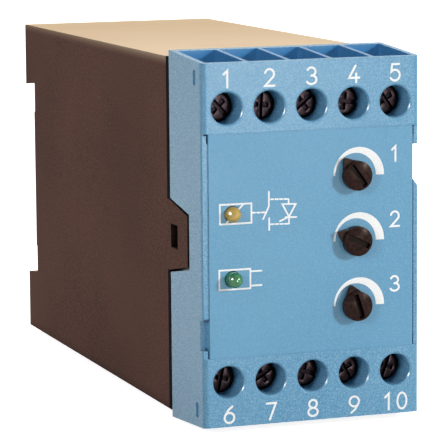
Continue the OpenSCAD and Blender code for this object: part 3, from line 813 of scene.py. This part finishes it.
def cut_screw():
    """The screw with its slots cut and edges eased, as one finished mesh."""
    blank = add_object("screw_blank", screw_mesh())
    cutter = add_object("slot_cutter", cutter_mesh())
    blank.data.shade_smooth()
    cutter.data.shade_smooth()
    cut = blank.modifiers.new("slots", "BOOLEAN")
    cut.operation = "DIFFERENCE"
    cut.solver = "EXACT"
    cut.use_self = True
    cut.object = cutter
    ease = blank.modifiers.new("ease", "BEVEL")
    ease.width = EASE_WIDTH * MM
    ease.segments = EASE_SEGMENTS
    ease.limit_method = "ANGLE"
    ease.angle_limit = math.radians(EASE_ANGLE)
    even = blank.modifiers.new("even", "WEIGHTED_NORMAL")
    even.weight = FLAT_FACE_WEIGHT
    view = bpy.context.evaluated_depsgraph_get()
    mesh = bpy.data.meshes.new_from_object(blank.evaluated_get(view))
    bpy.data.objects.remove(blank)
    bpy.data.objects.remove(cutter)
    mesh.materials.clear()
    mesh.materials.append(screw_metal)
    return mesh


def make_screws():
    mesh = cut_screw()
    for n in TERMINALS:
        low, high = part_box(f"terminal_screw_{n}")
        piece = add_object(f"threaded_screw_{n}", mesh)
        head = Vector(((low.x + high.x) / 2, low.y, (low.z + high.z) / 2))
        turn = Matrix.Rotation(math.radians(SCREW_TURN * n), 4, "Y")
        piece.matrix_world = Matrix.Translation(head) @ turn
        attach(piece, f"screw_{n}_body")
        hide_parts(f"terminal_screw_{n}")


make_screws()


# Latch spring: it stands on the case's peg

SPRING_TURNS = 6
SPRING_STEPS = 28
WIRE_R = 0.2 * MM
WIRE_SIDES = 12


def spring_mesh(low, high):
    """A coil of round wire that fills the box from low to high, with its axis along Z."""
    bm = bmesh.new()
    radius = (high.x - low.x) / 2 - WIRE_R
    centre = (low + high) / 2
    last = SPRING_TURNS * SPRING_STEPS
    rings = []
    for k in range(last + 1):
        turn = 2 * math.pi * k / SPRING_STEPS
        z = low.z + WIRE_R + (high.z - low.z - 2 * WIRE_R) * k / last
        ring = []
        for s in range(WIRE_SIDES):
            angle = 2 * math.pi * s / WIRE_SIDES
            r = radius + WIRE_R * math.cos(angle)
            ring.append(bm.verts.new((centre.x + r * math.cos(turn), centre.y + r * math.sin(turn),
                                      z + WIRE_R * math.sin(angle))))
        rings.append(ring)
    skin(bm, rings)
    mesh = mesh_from(bm, "coil_spring")
    mesh.materials.append(wire_metal)
    mesh.shade_smooth()
    return mesh


def make_spring():
    low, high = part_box("latch_spring")
    spring = add_object("coil_spring", spring_mesh(low, high))
    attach(spring, "housing")
    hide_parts("latch_spring")
    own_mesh(spring)


make_spring()


# Stage: a pale floor that keeps the shadow, a white surround and soft lamps, in metres

FLOOR_HALF = 4.0
FLOOR_DROP = 0.0002
FLOOR_COLOUR = (0.62, 0.62, 0.62, 1)
FLOOR_GLOW = (0.9, 0.9, 0.9, 1)

# Strength of the world as a light, and as the background that is seen
WORLD_LIGHT = 0.22
WORLD_SEEN = 1.0


def background_rays(tree):
    """One for rays from the camera and for those that show the background in gloss or glass."""
    path = tree.nodes.new("ShaderNodeLightPath")
    total = path.outputs["Is Camera Ray"]
    for name in ("Is Glossy Ray", "Is Transmission Ray"):
        either = tree.nodes.new("ShaderNodeMath")
        either.operation = "MAXIMUM"
        tree.links.new(total, either.inputs[0])
        tree.links.new(path.outputs[name], either.inputs[1])
        total = either.outputs["Value"]
    return total


def floor_material():
    """Matt grey that takes the shadow, plus a glow for the rays that show the background."""
    material = bpy.data.materials.new("pale_floor")
    material.use_nodes = True
    tree = material.node_tree
    tree.nodes.remove(tree.nodes["Principled BSDF"])
    matt = tree.nodes.new("ShaderNodeBsdfDiffuse")
    matt.inputs["Color"].default_value = FLOOR_COLOUR
    glow = tree.nodes.new("ShaderNodeEmission")
    glow.inputs["Color"].default_value = FLOOR_GLOW
    tree.links.new(background_rays(tree), glow.inputs["Strength"])
    both = tree.nodes.new("ShaderNodeAddShader")
    tree.links.new(matt.outputs["BSDF"], both.inputs[0])
    tree.links.new(glow.outputs["Emission"], both.inputs[1])
    tree.links.new(both.outputs["Shader"], tree.nodes["Material Output"].inputs["Surface"])
    return material


def make_floor():
    z = cad_box[0][2] - FLOOR_DROP
    corners = [(x * FLOOR_HALF, y * FLOOR_HALF, z) for x, y in ((-1, -1), (1, -1), (1, 1), (-1, 1))]
    mesh = bpy.data.meshes.new("floor")
    mesh.from_pydata(corners, [], [(0, 1, 2, 3)])
    mesh.materials.append(floor_material())
    add_object("floor", mesh)


def make_world():
    world = bpy.data.worlds.new("studio")
    bpy.context.scene.world = world
    world.use_nodes = True
    tree = world.node_tree
    back = tree.nodes["Background"]
    back.inputs["Color"].default_value = WHITE
    level = tree.nodes.new("ShaderNodeMapRange")
    level.inputs["To Min"].default_value = WORLD_LIGHT
    level.inputs["To Max"].default_value = WORLD_SEEN
    tree.links.new(background_rays(tree), level.inputs["Value"])
    tree.links.new(level.outputs["Result"], back.inputs["Strength"])


def lamp(name, place, target, size, watts, colour=(1, 1, 1)):
    """A square lamp that looks at target and that the camera doesn't see."""
    light = bpy.data.lights.new(name, "AREA")
    light.shape = "SQUARE"
    light.size = size
    light.energy = watts
    light.color = colour
    placed = add_object(name, light)
    placed.location = place
    placed.rotation_euler = (Vector(target) - Vector(place)).to_track_quat("-Z", "Y").to_euler()
    placed.visible_camera = False
    return placed


PART_MIDDLE = (0.0, -0.06, 0.0)
FRONT_MIDDLE = (0.0, -0.115, 0.0)
UPPER_FRONT = (0.0, -0.115, 0.03)


def make_lamps():
    """Four lamps light the part. Sheen and glint show only in its gloss, and behind doesn't show there."""
    lamp("key", place=(0.9, -1.0, 0.45), target=PART_MIDDLE, size=0.18, watts=11.6)
    lamp("fill", place=(-0.9, -0.8, 0.4), target=PART_MIDDLE, size=0.24, watts=4.4, colour=(1.0, 0.97, 0.95))
    sheen = lamp("sheen", place=(0.16, -0.75, 0.0), target=UPPER_FRONT, size=0.08, watts=2.4)
    sheen.visible_diffuse = False
    glint = lamp("glint", place=(-1.0, -0.53, 0.4), target=FRONT_MIDDLE, size=0.2, watts=60.0)
    glint.visible_diffuse = False
    lamp("above", place=(0.1, 0.3, 0.7), target=PART_MIDDLE, size=0.3, watts=3.0, colour=(1.0, 0.97, 0.92))
    behind = lamp("behind", place=(0.3, 1.3, 0.2), target=PART_MIDDLE, size=0.4, watts=5.0)
    behind.visible_glossy = False


make_floor()
make_world()
make_lamps()


# Camera: place in metres, angles in radians, sensor and lens in millimetres

CAMERA_PLACE = Vector((-0.2010, -0.6208, 0.0808))
YAW = math.radians(19.862)
PITCH = math.radians(-8.06)
ROLL = math.radians(-0.47)
SENSOR = 36.0
FOCAL = 229.7
CLIP_NEAR = 0.01
CLIP_FAR = 20


def make_camera():
    forward = Vector((math.sin(YAW) * math.cos(PITCH), math.cos(YAW) * math.cos(PITCH), math.sin(PITCH)))
    level = Vector((math.cos(YAW), -math.sin(YAW), 0))
    up = level.cross(forward)
    right = level * math.cos(ROLL) + up * math.sin(ROLL)
    top = up * math.cos(ROLL) - level * math.sin(ROLL)
    data = bpy.data.cameras.new("camera")
    data.lens = FOCAL
    data.sensor_width = SENSOR
    data.sensor_fit = "HORIZONTAL"
    data.clip_start = CLIP_NEAR
    data.clip_end = CLIP_FAR
    camera = add_object("camera", data)
    turn = Matrix((right, top, -forward)).transposed().to_4x4()
    camera.matrix_world = Matrix.Translation(CAMERA_PLACE) @ turn
    bpy.context.scene.camera = camera


make_camera()
bpy.context.scene.view_settings.view_transform = "Standard"
